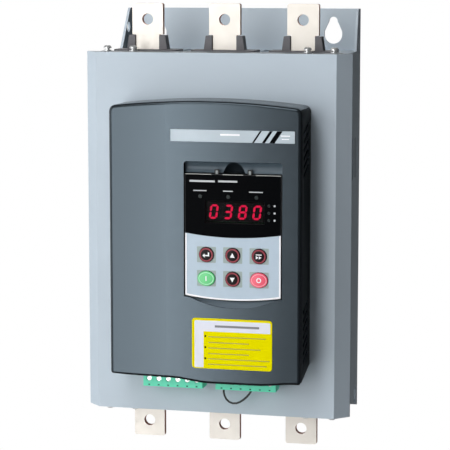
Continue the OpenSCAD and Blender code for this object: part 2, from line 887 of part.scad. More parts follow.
module fan_blade(tip_r) {
    intersection() {
        linear_extrude(blade_h, twist = blade_twist, slices = 4) square([tip_r + cut, blade_t]);
        difference() {
            cylinder(h = blade_h, r = tip_r, $fn = hull_fn);
            translate([0, 0, -cut])
                cylinder(h = blade_h + 2 * cut, d = fan_hub_d - rotor_cup_wall, $fn = hull_fn);
        }
    }
}

module fan_rotor(side) {
    color(charcoal) translate([fan_x(side), fan_y, rotor_z]) {
        difference() {
            cylinder(h = rotor_h, d = fan_hub_d, $fn = round_fn);
            translate([0, 0, -cut])
                cylinder(h = rotor_h - rotor_cup_wall + cut, d = fan_hub_d - 2 * rotor_cup_wall,
                    $fn = round_fn);
        }
        translate([0, 0, rotor_h - rotor_cup_wall - stator_h])
            cylinder(h = stator_h + rotor_cup_wall / 2, d = shaft_d, $fn = round_fn);
        for (i = [0:blade_count - 1]) rotate(i * 360 / blade_count)
            translate([0, 0, (rotor_h - blade_h) / 2]) fan_blade(fan_bore_d / 2 - rotor_tip_gap);
    }
}

// Moulded control housing: an arched shell with a facet at its left
function housing_ring(inset, depth, drop) = let (
    half = housing_w / 2 - inset,
    r = max(housing_corner_r - inset, housing_corner_r / 4),
    reach = arch_r - inset,
    hub = housing_top - arch_r,
    lean = asin((half - r) / reach),
    crease = asin(-facet_x / reach),
    shoulder = hub + reach * cos(lean) - r,
    foot = housing_z - 2 * dip_h - drop + inset + r
) [for (p = concat(
        arc(half - r, foot, r, -90, 0, 4),
        arc(half - r, shoulder, r, 0, 90 - lean, 4),
        arc(0, hub, reach, 90 - lean, 90 + crease, outline_steps),
        arc(0, hub, reach, 90 + crease, 90 + lean, facet_steps),
        arc(r - half, shoulder, r, 90 + lean, 180, 4),
        arc(r - half, foot, r, 180, 270, 4),
        [[facet_x, foot - r]]))
    [p[0], front_y - depth + facet(p[0]) * depth / housing_d, p[1]]];

function facet(x) = facet_drop * max(0, (facet_x - x) / (facet_x + housing_w / 2));

module housing_form(inset, overrun, drop) {
    depth = housing_d - inset;
    points = concat(
        housing_ring(inset, -overrun, drop),
        [for (a = [0:30:90], p = housing_ring(
            inset + housing_edge_r * (1 - cos(a)), depth - housing_edge_r * (1 - sin(a)), drop)) p]
    );
    hull() polyhedron(points, [[for (i = [0:len(points) - 1]) i]]);
}

// Lower edge of the housing, a straight run with a shallow dip right of its middle
function dip(x) = let (u = x / housing_w, s = dip_share)
    dip_h * (smooth((u - s[0]) / (s[1] - s[0]))
        - dip_return_share * smooth((u - s[2]) / (s[3] - s[2])));

module housing_skirt() {
    half = housing_w / 2 + cut;
    polygon(concat(
        [[half, housing_z - 4 * dip_h], [-half, housing_z - 4 * dip_h]],
        [for (i = [0:outline_steps]) let (x = half * (2 * i / outline_steps - 1)) [x, housing_z - dip(x)]]
    ));
}

// Outline of the keypad, its lower edge bowed, grown by a margin
function keypad_bow(z, grow) = let (
    half = keypad_w / 2 + grow,
    r = (half * half + keypad_sag * keypad_sag) / (2 * keypad_sag),
    lean = asin(half / r)
) arc(keypad_x, z + r, r, 270 - lean, 270 + lean, 16);

module keypad_outline(grow, top) {
    polygon(concat(
        [[keypad_x + keypad_w / 2 + grow, top], [keypad_x - keypad_w / 2 - grow, top]],
        keypad_bow(keypad_bottom - grow, grow)
    ));
}

module finger_scoop(grow) {
    r = (pow(scoop_w / 2, 2) + pow(scoop_h, 2)) / (2 * scoop_h);
    lean = asin(scoop_w / 2 / r);
    polygon(arc(keypad_x, keypad_bottom - scoop_h + keypad_sag + r, r + grow, 270 - lean, 270 + lean, 16));
}

// The scoop is deepest under the keypad and runs out towards its rim
module scoop_depth() {
    top = keypad_bottom + keypad_sag + cut;
    foot = keypad_bottom + keypad_sag - scoop_h - cut;
    polygon([
        [housing_y - cut, top], [housing_y + scoop_d, top],
        [housing_y + scoop_edge_d, foot], [housing_y - cut, foot]
    ]);
}

module control_housing() {
    tray_back = keypad_back_y + fit + pocket_floor_t;
    head_top = keypad_top + pocket_head;
    color(charcoal) difference() {
        union() {
            difference() {
                housing_form(0, 0, 0);
                housing_form(housing_wall, cut, lip_rise);
            }
            front_slab(tray_back, tray_back - housing_y - housing_wall / 2)
                keypad_outline(pocket_gap + pocket_floor_t, head_top + pocket_floor_t);
            front_slab(housing_y + scoop_d + pocket_floor_t, scoop_d + pocket_floor_t - housing_wall / 2)
                finger_scoop(pocket_floor_t);
        }
        front_slab(keypad_back_y + fit, keypad_d + fit + cut)
            keypad_outline(pocket_gap, keypad_top + pocket_gap);
        keypad_head(head_top);
        intersection() {
            front_slab(front_y, housing_d + cut) finger_scoop(0);
            side_slab(keypad_x, scoop_w + 2 * cut) scoop_depth();
        }
        front_slab(tray_back + cut, pocket_floor_t + 2 * cut)
            translate([keypad_x, (keypad_top + keypad_bottom) / 2])
                square([keypad_w / 2, keypad_h / 3], center = true);
        front_slab(front_y + cut, housing_d + 2 * cut) housing_skirt();
        side_slab(0, housing_w + 2 * cut) polygon([
            [front_y + cut, housing_z + lip_rise], [housing_y + housing_wall, housing_z],
            [housing_y + housing_wall, housing_z - 3 * dip_h], [front_y + cut, housing_z - 3 * dip_h]
        ]);
        for (s = [left, right]) side_slab(s * housing_w / 2, 4 * housing_wall) housing_vents();
    }
}

// Recess above the keypad: a trough from side to side with a deeper round finger notch
module keypad_head(head_top) {
    pocket_w = keypad_w + 2 * pocket_gap;
    intersection() {
        translate([keypad_x - pocket_w / 2, housing_y - trough_shift, keypad_top + trough_lift])
            rotate([0, 90, 0]) cylinder(h = pocket_w, r = trough_r, $fn = round_fn);
        front_slab(front_y, housing_d + cut) translate([keypad_x, head_top - pocket_head / 2 - cut])
            rounded_top(pocket_w, pocket_head + 2 * cut, pocket_corner_r);
    }
    translate([keypad_x, housing_y + trough_shift, keypad_top]) sphere(notch_r, $fn = round_fn);
}

module housing_vents() {
    mid_y = (front_y + housing_y) / 2;
    for (i = [0:side_vent_count - 1])
        translate([mid_y, case_z + side_vent_lift + i * side_vent_pitch])
            rotate(90 + louvre_tilt) obround(side_vent_w, side_vent_l);
    for (i = [0:louvre_count - 1])
        translate([mid_y, housing_z + louvre_lift + i * side_vent_pitch])
            rotate(90 + louvre_tilt) obround(side_vent_w, side_vent_l);
}

module badge_strip() {
    color(silver) front_slab(housing_y, badge_t)
        translate([badge_shift, housing_top - badge_drop]) square([badge_w, badge_h], center = true);
}

module label_plate() {
    color(yellow) front_slab(housing_y, label_t)
        translate([label_shift, housing_z + label_lift + label_h / 2]) rounded(label_w, label_h, label_r);
}

// Keypad, a moulded shell that pulls out of its pocket to the front
module key_outline(i, grow) {
    if (i == 3 || i == 5)
        polygon([for (a = [0:10:350]) [(oval_w / 2 + grow) * cos(a), (key_d / 2 + grow) * sin(a)]]);
    else
        circle(key_d / 2 + grow, $fn = round_fn);
}

module at_key(i) {
    translate([key_x(i % 3 - 1), key_row_z - floor(i / 3) * key_pitch_z]) children();
}

module at_lamps() {
    for (i = [-1:1]) translate([keypad_x + lamp_shift + i * lamp_pitch, keypad_top - lamp_drop]) children();
}

module at_small_lamps() {
    for (i = [-1:1])
        translate([keypad_x + small_lamp_shift, keypad_top - small_lamp_drop + i * small_lamp_pitch])
            children();
}

module keypad_case() {
    color(black_plastic) difference() {
        union() {
            front_slab(keypad_back_y, keypad_d) keypad_outline(0, keypad_top);
            for (s = [left, right]) translate([keypad_x + s * clip_shift, keypad_front_y, keypad_top])
                box([-clip_w / 2, clip_w / 2], [clip_d, 2 * clip_d], [0, clip_h]);
        }
        front_slab(keypad_back_y + cut, keypad_d - keypad_panel_t + cut)
            keypad_outline(-keypad_wall, keypad_top - keypad_wall);
        front_slab(keypad_front_y + keypad_panel_t + cut, keypad_panel_t + 2 * cut) {
            for (i = [0:5]) at_key(i) key_outline(i, fit);
            at_lamps() circle(d = lamp_d + fit, $fn = round_fn);
            at_small_lamps() circle(d = small_lamp_d + fit, $fn = round_fn);
            at_window() square([window_w, window_h], center = true);
        }
    }
}

module at_window() {
    translate([keypad_x + window_shift, keypad_top - window_drop]) children();
}

module keypad_overlay() {
    color(overlay_blue) front_slab(keypad_front_y, overlay_t) difference() {
        upper = keypad_bow(overlay_top, -overlay_t);
        polygon(concat(keypad_bow(keypad_bottom + overlay_t, -overlay_t),
            [for (i = [len(upper) - 1:-1:0]) upper[i]]));
        for (i = [0:5]) at_key(i) key_outline(i, fit);
    }
}

module keypad_window() {
    color(window_red) front_slab(keypad_front_y + window_t + fit, window_t)
        at_window() square([window_w - fit, window_h - fit], center = true);
}

module keypad_display() {
    color(black_plastic) front_slab(display_y + display_d, display_d)
        at_window() square([display_w, display_h], center = true);
}

// Strokes of one seven-segment digit, in the order top, upper right, lower right,
// bottom, lower left, upper left, middle
module digit(n) {
    lit = [
        [1, 1, 1, 1, 1, 1, 0], [0, 1, 1, 0, 0, 0, 0], [1, 1, 0, 1, 1, 0, 1], [1, 1, 1, 1, 0, 0, 1],
        [0, 1, 1, 0, 0, 1, 1], [1, 0, 1, 1, 0, 1, 1], [1, 0, 1, 1, 1, 1, 1], [1, 1, 1, 0, 0, 0, 0],
        [1, 1, 1, 1, 1, 1, 1], [1, 1, 1, 1, 0, 1, 1]
    ][n];
    t = digit_h * stroke_share;
    w = digit_w - t;
    h = (digit_h - t) / 2;
    at = [
        [0, h, 0], [w / 2, h / 2, 90], [w / 2, -h / 2, 90], [0, -h, 0],
        [-w / 2, -h / 2, 90], [-w / 2, h / 2, 90], [0, 0, 0]
    ];
    for (i = [0:6]) if (lit[i] == 1)
        translate([at[i][0] + at[i][1] * tan(digit_lean), at[i][1]]) 
            stroke(at[i][2] == 0 ? w : h, t * stroke_fill_share, at[i][2]);
}

module stroke(l, t, turn) {
    e = l / 2 - t * stroke_share;
    lean = tan(digit_lean);
    pts = [[-e, 0], [t / 2 - e, t / 2], [e - t / 2, t / 2], [e, 0], [e - t / 2, -t / 2], [t / 2 - e, -t / 2]];
    polygon([for (p = pts) let (q = turn == 0 ? p : [-p[1], p[0]]) [q[0] + q[1] * lean, q[1]]]);
}

module display_digits() {
    color(red) front_slab(display_y, digit_t) at_window()
        for (i = [0:len(readout) - 1])
            translate([(i - (len(readout) - 1) / 2) * digit_pitch, 0]) digit(readout[i]);
}

module keypad_board() {
    color(board_green) {
        front_slab(keypad_board_y + keypad_board_t, keypad_board_t)
            keypad_outline(-keypad_wall - fit, keypad_top - keypad_wall - fit);
        front_slab(keypad_board_y, switch_h) for (i = [0:5])
            at_key(i) square([switch_w, switch_w], center = true);
    }
}

module indicator_lamps() {
    color(red) front_slab(keypad_board_y, keypad_board_y - keypad_front_y + lamp_proud) {
        at_lamps() circle(d = lamp_d, $fn = round_fn);
        at_small_lamps() circle(d = small_lamp_d, $fn = round_fn);
    }
}

module key(i, tint) {
    back_y = keypad_front_y + keypad_panel_t + fit;
    stem_y = keypad_board_y - switch_h - key_travel - fit;
    color(tint) {
        front_slab(back_y, back_y - keypad_front_y + overlay_t + key_proud) at_key(i) key_outline(i, 0);
        front_slab(back_y + key_flange_t, key_flange_t) at_key(i) key_outline(i, key_flange);
        front_slab(stem_y, stem_y - back_y) at_key(i) circle(d = key_stem_d, $fn = round_fn);
    }
}

module key_set() { key(0, key_black); }
module key_up() { key(1, key_black); }
module key_program() { key(2, key_black); }
module key_run() { key(3, green); }
module key_down() { key(4, key_black); }
module key_stop() { key(5, red); }

// Control board in the housing, on spacers from the cover
module at_spacers() {
    for (x = [-1, 1], z = [header_top + spacer_inset, board_z + board_h - spacer_inset])
        translate([x * (board_w / 2 - spacer_inset), z]) children();
}

module control_board() {
    color(board_green) {
        front_slab(board_y, board_t) difference() {
            translate([-board_w / 2, board_z]) square([board_w, board_h]);
            at_spacers() circle(d = spacer_d / 2, $fn = round_fn);
        }
        front_slab(board_y - board_t, board_part_h) {
            for (p = board_part_shares)
                translate([p[0] * board_w, board_z + p[1] * board_h])
                    square([p[2] * board_w, p[3] * board_h], center = true);
            for (p = capacitor_shares)
                translate([p[0] * board_w, board_z + p[1] * board_h]) circle(d = capacitor_d, $fn = round_fn);
        }
    }
}

module board_spacers() {
    color(zinc) {
        front_slab(front_y, board_gap) at_spacers() circle(d = spacer_d, $fn = 6);
        front_slab(board_y, board_t + board_gap / 2) at_spacers()
            circle(d = spacer_d / 2 - fit, $fn = round_fn);
    }
}

// Plug-in terminals under the control board
module terminal_header(side) {
    color(plug_green) translate([plug_x(side), 0]) difference() {
        box([-plug_w / 2, plug_w / 2], [plug_front_y, board_y - board_t], [plug_z + plug_h, header_top]);
        box([header_wall - plug_w / 2, plug_w / 2 - header_wall],
            [plug_front_y + header_wall, plug_back_y - header_wall],
            [plug_z + plug_h - cut, header_top - header_wall]);
    }
}

module terminal_plug(side) {
    half = plug_w / 2;
    color(plug_green) difference() {
        translate([plug_x(side), 0, 0]) {
            box([-half, half], [plug_front_y + plug_step, plug_back_y], [plug_z, plug_z + plug_h]);
            box([-half, half], [plug_front_y, plug_back_y], [plug_z, plug_z + 2 * plug_screw_lift]);
            box([2 * header_wall - half, half - 2 * header_wall],
                [plug_front_y + 2 * header_wall, plug_back_y - 2 * header_wall],
                [plug_z + plug_h - cut / 2, header_top - 2 * header_wall]);
        }
        for (i = [0:plug_ways - 1]) {
            translate([plug_way_x(side, i), (plug_front_y + plug_back_y) / 2, plug_z])
                cube([plug_wire_w, plug_wire_w, 2 * plug_wire_h], center = true);
            at_plug_screw(side, i) rotate([90, 0, 0])
                cylinder(h = plug_screw_sink + plug_screw_h + cut, d = plug_screw_d, $fn = round_fn);
        }
    }
}

module at_plug_screw(side, i) {
    translate([plug_way_x(side, i), plug_front_y + plug_screw_sink + plug_screw_h, plug_z + plug_screw_lift])
        children();
}

module terminal_screws() {
    color(zinc) for (side = [left, right], i = [0:plug_ways - 1]) at_plug_screw(side, i) difference() {
        front_slab(0, plug_screw_h) circle(d = plug_screw_d - fit, $fn = round_fn);
        translate([0, -plug_screw_h, 0]) rotate([0, 45, 0])
            cube([plug_screw_d, 2 * plug_screw_sink, plug_screw_sink], center = true);
    }
}

// Jumper between two terminals, swept along its route
module jumper_wire() {
    n = len(jumper_route);
    points = [for (i = [0:n - 1]) let (
        a = jumper_route[max(0, i - 1)], b = jumper_route[min(n - 1, i + 1)],
        d = (b - a) / norm(b - a), p = jumper_route[i]
    ) for (k = [0:jumper_sides - 1]) let (t = 360 * k / jumper_sides, r = jumper_d / 2)
        [p[0] + r * cos(t) * d[1], jumper_y + r * sin(t), p[1] - r * cos(t) * d[0]]];
    faces = concat(
        [[for (k = [0:jumper_sides - 1]) k]],
        [[for (k = [jumper_sides - 1:-1:0]) (n - 1) * jumper_sides + k]],
        [for (i = [0:n - 2], k = [0:jumper_sides - 1])
            let (m = (k + 1) % jumper_sides, a = i * jumper_sides, b = a + jumper_sides)
            [a + k, b + k, b + m, a + m]]
    );
    color(black_plastic) polyhedron(points, faces);
}

chassis();
top_panel();
bottom_panel();
front_cover();
cover_screws();
line_bushing(left);  // line_bushing_left
line_bushing(middle);  // line_bushing_middle
line_bushing(right);  // line_bushing_right
load_bushing(left);  // load_bushing_left
load_bushing(middle);  // load_bushing_middle
load_bushing(right);  // load_bushing_right
line_bar(left);  // line_bar_left
line_bar(middle);  // line_bar_middle
line_bar(right);  // line_bar_right
load_bar(left);  // load_bar_left
load_bar(middle);  // load_bar_middle
load_bar(right);  // load_bar_right
heatsink();
thyristor(left);  // thyristor_left
thyristor(middle);  // thyristor_middle
thyristor(right);  // thyristor_right
bar_screws();
current_transformer(left);  // current_transformer_left
current_transformer(middle);  // current_transformer_middle
current_transformer(right);  // current_transformer_right
transformer_bracket();
trigger_board();
board_pillars();
fan_frame(left);  // fan_frame_left
fan_frame(right);  // fan_frame_right
fan_rotor(left);  // fan_rotor_left
fan_rotor(right);  // fan_rotor_right
control_housing();
badge_strip();
label_plate();
control_board();
board_spacers();
terminal_header(left);  // terminal_header_left
terminal_header(right);  // terminal_header_right
terminal_plug(left);  // terminal_plug_left
terminal_plug(right);  // terminal_plug_right
terminal_screws();
jumper_wire();
keypad_case();
keypad_overlay();
keypad_window();
keypad_display();
display_digits();
keypad_board();
indicator_lamps();
key_set();
key_up();
key_program();
key_run();
key_down();
key_stop();
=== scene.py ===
import math

import bmesh
import bpy
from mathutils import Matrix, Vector
from mathutils.geometry import tessellate_polygon


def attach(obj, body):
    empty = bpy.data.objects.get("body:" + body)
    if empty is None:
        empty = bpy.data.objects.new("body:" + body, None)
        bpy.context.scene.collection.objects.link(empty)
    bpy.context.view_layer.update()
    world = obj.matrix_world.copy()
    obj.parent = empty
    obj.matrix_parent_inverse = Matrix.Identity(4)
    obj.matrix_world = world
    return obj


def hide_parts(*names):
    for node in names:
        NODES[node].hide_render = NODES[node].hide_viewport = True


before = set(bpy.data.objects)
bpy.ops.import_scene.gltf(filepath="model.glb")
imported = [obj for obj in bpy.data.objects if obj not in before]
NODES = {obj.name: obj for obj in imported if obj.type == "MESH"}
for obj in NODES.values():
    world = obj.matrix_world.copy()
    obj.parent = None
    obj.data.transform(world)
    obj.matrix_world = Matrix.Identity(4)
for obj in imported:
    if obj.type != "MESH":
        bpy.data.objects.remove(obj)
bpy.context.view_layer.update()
MM = 0.001

# Camera, as fitted to the outline of the object
camera = bpy.data.objects.new("camera", bpy.data.cameras.new("camera"))
bpy.context.scene.collection.objects.link(camera)
camera.location = (0.3533, -1.5399, 0.1981)
camera.rotation_euler = (math.pi / 2 - 0.135, 0, 0.236)
camera.data.sensor_width = 36
camera.data.lens = 153.73
camera.data.clip_start = 0.01
camera.data.clip_end = 50
bpy.context.scene.camera = camera


# Materials ------------------------------------------------------------------
def srgb(r, g, b):
    """Linear colour of an 8-bit screen colour."""
    return tuple(
        (c / 12.92 if c <= 0.04045 else ((c + 0.055) / 1.055) ** 2.4)
        for c in (r / 255, g / 255, b / 255)
    )


class Graph:
    """A material's node tree, built one node at a time."""

    def __init__(self, name):
        self.mat = bpy.data.materials.new(name)
        self.mat.use_nodes = True
        self.tree = self.mat.node_tree
        self.tree.nodes.clear()
        self.out = self.add("ShaderNodeOutputMaterial")
        self.coord = self.add("ShaderNodeTexCoord").outputs["Object"]

    def add(self, kind, **settings):
        n = self.tree.nodes.new(kind)
        for k, v in settings.items():
            setattr(n, k, v)
        return n

    def put(self, socket, value):
        if isinstance(value, bpy.types.NodeSocket):
            self.tree.links.new(value, socket)
        elif socket.type == "RGBA" and len(value) == 3:
            socket.default_value = (*value, 1)
        else:
            socket.default_value = value

    def math(self, operation, a, b=0.0, c=0.0, clamp=False):
        n = self.add("ShaderNodeMath", operation=operation, use_clamp=clamp)
        for i, v in enumerate((a, b, c)):
            self.put(n.inputs[i], v)
        return n.outputs[0]

    def noise(self, scale, detail=3.0, rough=0.5, stretch=(1, 1, 1)):
        m = self.add("ShaderNodeMapping")
        self.put(m.inputs["Vector"], self.coord)
        m.inputs["Scale"].default_value = stretch
        n = self.add("ShaderNodeTexNoise")
        self.put(n.inputs["Vector"], m.outputs[0])
        n.inputs["Scale"].default_value = scale
        n.inputs["Detail"].default_value = detail
        n.inputs["Roughness"].default_value = rough
        return n.outputs[0]

    def ramp(self, value, low, high, out_low=0.0, out_high=1.0):
        n = self.add("ShaderNodeMapRange")
        for name, v in (
            ("Value", value),
            ("From Min", low),
            ("From Max", high),
            ("To Min", out_low),
            ("To Max", out_high),
        ):
            self.put(n.inputs[name], v)
        return n.outputs[0]

    def mix(self, factor, a, b, blend="MIX"):
        n = self.add("ShaderNodeMix", data_type="RGBA", blend_type=blend)
        self.put(n.inputs[0], factor)
        self.put(n.inputs[6], a)
        self.put(n.inputs[7], b)
        return n.outputs[2]

    def bump(self, height, strength, distance, normal=None):
        n = self.add("ShaderNodeBump")
        n.inputs["Strength"].default_value = strength
        n.inputs["Distance"].default_value = distance
        self.put(n.inputs["Height"], height)
        if normal is not None:
            self.put(n.inputs["Normal"], normal)
        return n.outputs[0]

    def surface(self, **inputs):
        n = self.add("ShaderNodeBsdfPrincipled")
        for name, v in inputs.items():
            self.put(n.inputs[name.replace("_", " ").title().replace("Ior", "IOR")], v)
        self.tree.links.new(n.outputs[0], self.out.inputs[0])
        return self.mat


def tinted(g, colour, drift, scale, spread=0.06):
    """A colour that drifts a little over the surface."""
    low = tuple(max(0.0, c * (1 - drift)) for c in colour)
    high = tuple(min(1.0, c * (1 + drift)) for c in colour)
    return g.mix(g.ramp(g.noise(scale, 4), 0.5 - spread * 4, 0.5 + spread * 4), low, high)


def powder_coat(name, colour, rough=0.5, drift=0.04):
    g = Graph(name)
    peel = g.noise(900, 2)
    pore = g.noise(5200, 2)
    normal = g.bump(pore, 0.05, 0.00005, g.bump(peel, 0.10, 0.0003))
    return g.surface(
        base_color=tinted(g, colour, drift, 9),
        roughness=g.ramp(g.noise(140, 4), 0.3, 0.7, rough - 0.05, rough + 0.06),
        normal=normal,
        specular_ior_level=0.4,
    )


def moulded(
    name, colour, rough=0.45, drift=0.05, grain=0.12, specular=0.45, grain_scale=3600, tint=(1, 1, 1)
):
    g = Graph(name)
    spark = g.noise(grain_scale, 3, 0.7)
    flow = g.noise(45, 3)
    normal = g.bump(flow, 0.01, 0.0003, g.bump(spark, grain, 0.00006))
    return g.surface(
        base_color=tinted(g, colour, drift, 26),
        roughness=g.ramp(g.noise(260, 4), 0.3, 0.7, rough - 0.015, rough + 0.02),
        normal=normal,
        specular_ior_level=specular,
        specular_tint=tint,
    )


def plated(name, colour, rough=0.3, brushed=(1, 1, 1), depth=0.12, metal=1.0):
    g = Graph(name)
    lines = g.noise(1400, 3, 0.6, brushed)
    blotch = g.noise(120, 4)
    return g.surface(
        base_color=tinted(g, colour, 0.07, 60),
        metallic=metal,
        roughness=g.ramp(blotch, 0.3, 0.7, rough - 0.07, rough + 0.1),
        normal=g.bump(lines, depth, 0.00008),
    )


def busbar(name):
    """Tinned faces, with the copper showing at the sheared edges and round the hole."""
    g = Graph(name)
    geometry = g.add("ShaderNodeNewGeometry")
    parts = g.add("ShaderNodeSeparateXYZ")
    g.put(parts.inputs[0], geometry.outputs["True Normal"])
    edge = g.math("SUBTRACT", 1.0, g.math("ABSOLUTE", parts.outputs[1]))
    edge = g.ramp(g.math("ADD", edge, g.ramp(g.noise(500, 3), 0, 1, -0.12, 0.12)), 0.25, 0.6)
    tin = tinted(g, srgb(231, 225, 216), 0.02, 90)
    copper = tinted(g, srgb(206, 148, 128), 0.12, 300)
    lines = g.noise(900, 4, 0.6, (1, 1, 14))
    return g.surface(
        base_color=g.mix(edge, tin, copper),
        metallic=0.2,
        roughness=g.ramp(g.noise(220, 4), 0.3, 0.7, 0.34, 0.5),
        normal=g.bump(lines, 0.12, 0.0001),
    )


def printed(name, colour, rough=0.35, drift=0.02, specular=0.4):
    g = Graph(name)
    fine = g.noise(2400, 2)
    return g.surface(
        base_color=tinted(g, colour, drift, 200),
        roughness=g.ramp(g.noise(500, 3), 0.3, 0.7, rough - 0.04, rough + 0.04),
        normal=g.bump(fine, 0.05, 0.00003),
        specular_ior_level=specular,
    )


def lit(name, colour, strength):
    g = Graph(name)
    glow = g.ramp(g.noise(900, 2), 0.3, 0.7, strength * 0.92, strength * 1.08)
    return g.surface(
        base_color=tinted(g, tuple(c * 0.6 for c in colour), 0.05, 300),
        roughness=0.4,
        emission_color=colour,
        emission_strength=glow,
    )


def smoked(name, colour, alpha):
    g = Graph(name)
    return g.surface(
        base_color=tinted(g, colour, 0.1, 100),
        roughness=g.ramp(g.noise(400, 3), 0.3, 0.7, 0.24, 0.3),
        alpha=alpha,
        specular_ior_level=0.02,
    )


def circuit(name):
    """Solder mask with tracks and pads."""
    g = Graph(name)
    m = g.add("ShaderNodeTexBrick", offset=0.37, squash=1.6)
    g.put(m.inputs["Vector"], g.coord)
    m.inputs["Scale"].default_value = 160
    m.inputs["Mortar Size"].default_value = 0.03
    track = m.outputs["Fac"]
    return g.surface(
        base_color=g.mix(track, tinted(g, srgb(24, 92, 58), 0.12, 60), srgb(60, 140, 92)),
        roughness=g.ramp(g.noise(300, 3), 0.3, 0.7, 0.3, 0.45),
        normal=g.bump(track, 0.2, 0.00003),
    )


PAINT = powder_coat("paint_blue_grey", srgb(188, 201, 212))
# Chassis and panels: a lighter copy of the cover's paint, painted light
PAINT_CHASSIS_LIGHTENED = powder_coat("paint_chassis", srgb(200, 212, 222))
# Darker copies of the paint as painted shade: inside the chassis walls, and on the cover's top
# flange
PAINT_INNER_SHADE = powder_coat("paint_inner", srgb(76, 87, 92))
PAINT_FLANGE_SHADE = powder_coat("paint_flange", srgb(122, 130, 137))
CHARCOAL = moulded(
    "charcoal_housing", srgb(34, 39, 43), 0.21, 0.03, 0.06, 0.7, tint=(0.68, 0.86, 1.0)
)
# Darker, less glossy copy of the charcoal for the housing's right-hand wall: painted shade
CHARCOAL_SIDE_SHADE = moulded("charcoal_side", srgb(17, 21, 24), 0.5, 0.03, 0.06, 0.06)
# Lighter copy of the charcoal for the recesses round the keypad: painted light
CHARCOAL_RECESS_LIGHT = moulded("charcoal_recess", srgb(78, 92, 102), 0.4, 0.03, 0.06, 0.25)
# Darkest copy of the charcoal for the finger notch: painted shade
CHARCOAL_NOTCH_SHADE = moulded("charcoal_notch", srgb(26, 33, 38), 0.5, 0.03, 0.06, 0.1)
BLACK = moulded("black_moulding", srgb(22, 23, 25), 0.4, 0.1, 0.12, 0.25)
BLACK_DULL = moulded("grey_bushing", srgb(96, 95, 99), 0.5, 0.05, 0.2, 0.4, 1800)
BUSBAR = busbar("tinned_busbar")
ZINC = plated("zinc_plate", srgb(226, 228, 228), 0.3, metal=0.6)
SCREW_WHITE = plated("terminal_screw", srgb(240, 242, 240), 0.3, metal=0.5)
ALUMINIUM = plated("aluminium_fins", srgb(205, 208, 210), 0.36, (1, 1, 0.06), 0.2, metal=0.8)
BOARD = circuit("solder_mask")
GREEN_PLUG = moulded("terminal_green", srgb(86, 236, 194), 0.4, 0.04, 0.1, 0.45, 2400)
# Dark green for the plug slots: painted shade
PAINTED_SLOT_SHADE = moulded("slot_shade", srgb(20, 96, 76), 0.5, 0.04, 0.1, 0.2, 2400)
SILVER = plated("badge_silver", srgb(168, 180, 188), 0.42, (0.04, 1, 1), 0.05, metal=0.15)
YELLOW = printed("label_yellow", srgb(240, 230, 0), 0.5, 0.02, specular=0.0)
OVERLAY = printed("overlay_blue_grey", srgb(180, 198, 213), 0.4)
WINDOW = smoked("smoked_window", srgb(6, 2, 4), 0.4)
DIGITS = lit("lit_segments", srgb(255, 0, 76), 1.7)
LAMP = printed("unlit_lamp", srgb(46, 53, 53), 0.25, specular=0.1)
KEY_BLACK = moulded("key_black", srgb(24, 14, 18), 0.34, 0.08, 0.04, 0.1)
KEY_GREEN = moulded("key_green", srgb(96, 206, 128), 0.34, 0.04, 0.04, 0.45)
KEY_RED = moulded("key_red", srgb(238, 82, 108), 0.34, 0.04, 0.04, 0.45)
RUBBER = moulded("wire_insulation", srgb(26, 26, 28), 0.4, 0.06, 0.1)
WHITE_PRINT = printed("white_print", srgb(246, 247, 250), 0.4)
PALE_GREY = printed("panel_print", srgb(190, 194, 198), 0.4)
SOFT_WHITE = printed("label_white", srgb(226, 228, 240), 0.4)
BLACK_PRINT = printed("black_print", srgb(6, 7, 9), 0.5, specular=0.01)
GREY_PRINT = printed("grey_print", srgb(120, 122, 126), 0.4)
OLIVE_PRINT = printed("olive_print", srgb(176, 166, 24), 0.4)
RING_PRINT = printed("ring_print", srgb(132, 22, 42), 0.35)
PALE_GREEN = printed("pale_green_print", srgb(186, 240, 206), 0.35)
PALE_RED = printed("pale_red_print", srgb(255, 178, 190), 0.35)
TILE_PRINT = printed("tile_print", srgb(152, 168, 166), 0.4)
PANEL_BLACK = printed("panel_film", srgb(5, 6, 8), 0.3, 0.05, specular=0.01)
# Light grey for the keypad's upper rim: painted highlight
RIM_HIGHLIGHT = printed("rim_grey", srgb(178, 180, 176), 0.4)
CLIP_GREY = printed("clip_grey", srgb(132, 138, 138), 0.4)

LOOKS = {
    # chassis and panels take the lightened paint, painted light
    "chassis": PAINT_CHASSIS_LIGHTENED,
    "top_panel": PAINT_CHASSIS_LIGHTENED,
    "bottom_panel": PAINT_CHASSIS_LIGHTENED,
    "front_cover": PAINT,
    "cover_screws": ZINC,
    "bar_screws": ZINC,
    "transformer_bracket": ZINC,
    "board_pillars": ZINC,
    "board_spacers": ZINC,
    "terminal_screws": SCREW_WHITE,
    "heatsink": ALUMINIUM,
    "trigger_board": BOARD,
    "control_board": BOARD,
    "keypad_board": BOARD,
    "control_housing": CHARCOAL,
    "badge_strip": SILVER,
    "label_plate": YELLOW,
    "keypad_case": BLACK,
    "keypad_overlay": OVERLAY,
    "keypad_window": WINDOW,
    "keypad_display": BLACK,
    "display_digits": DIGITS,
    "indicator_lamps": LAMP,
    "key_set": KEY_BLACK,
    "key_up": KEY_BLACK,
    "key_program": KEY_BLACK,
    "key_down": KEY_BLACK,
    "key_run": KEY_GREEN,
    "key_stop": KEY_RED,
    "jumper_wire": RUBBER,
}
for part in ("left", "middle", "right"):
    for name in ("line_bushing_", "load_bushing_"):
        LOOKS[name + part] = BLACK_DULL
    for name in ("line_bar_", "load_bar_"):
        LOOKS[name + part] = BUSBAR
    for name in ("thyristor_", "current_transformer_"):
        LOOKS[name + part] = BLACK
for part in ("left", "right"):
    for name in ("fan_frame_", "fan_rotor_"):
        LOOKS[name + part] = BLACK
    for name in ("terminal_header_", "terminal_plug_"):
        LOOKS[name + part] = GREEN_PLUG


def dress(obj, mat):
    obj.data.materials.clear()
    obj.data.materials.append(mat)


for name, obj in NODES.items():
    dress(obj, LOOKS[name])
